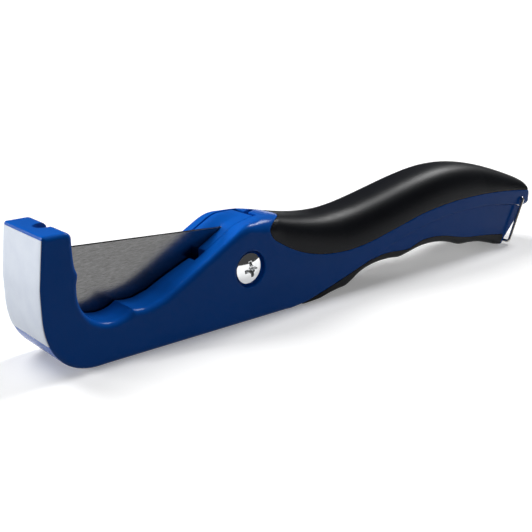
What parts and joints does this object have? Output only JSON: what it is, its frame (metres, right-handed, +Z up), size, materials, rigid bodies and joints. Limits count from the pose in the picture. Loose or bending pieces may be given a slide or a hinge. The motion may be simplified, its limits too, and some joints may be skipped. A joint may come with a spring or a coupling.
{
  "type": "plastic pipe cutter",
  "caption": "One-hand plastic pipe and tubing cutter with a hooked jaw, a pivoting blade, a rubber-covered handle and lever, and a wire bail latch.",
  "frame": {"origin": "centre of the bounding box's underside, on the plane of the flat base", "axes": "+X from the hook to the rear of the handle, +Y across the tool away from the screw's head, +Z up from the flat base"},
  "size_m": [0.2326, 0.0284, 0.042],
  "materials": {
    "frame_plastic": "satin moulded glass-filled plastic",
    "grip_rubber": "fine-grained matte",
    "label_film": "smooth printed film, left blank",
    "bright_steel": "drawn wire and turned steel",
    "screw_chrome": "polished",
    "blade_steel": "fine ground"
  },
  "bodies": {
    "frame": {"frame": "frame_plastic", "handle_grip": "grip_rubber", "hook_label": "label_film", "pivot_post": "bright_steel", "pivot_screw": "screw_chrome", "return_spring": "bright_steel"},
    "lever": {"lever": "frame_plastic", "lever_grip": "grip_rubber", "blade": "blade_steel", "blade_pin_high": "bright_steel", "blade_pin_low": "bright_steel"},
    "latch": {"wire_latch": "bright_steel"}
  },
  "joints": [
    {"name": "lever_pivot", "type": "hinge", "parent": "frame", "child": "lever", "pos_m": [-0.04245, 0, 0.0183], "axis": [0, 1, 0], "range_deg": [0, 38], "deforming": ["return_spring"]},
    {"name": "latch_hinge", "type": "hinge", "parent": "frame", "child": "latch", "pos_m": [0.10925, 0, 0.0193], "axis": [0, -1, 0], "range_deg": [0, 209]}
  ],
  "couplings": [
    {"joint": "latch_hinge", "follows": "lever_pivot", "ratio": 5.5}
  ]
}
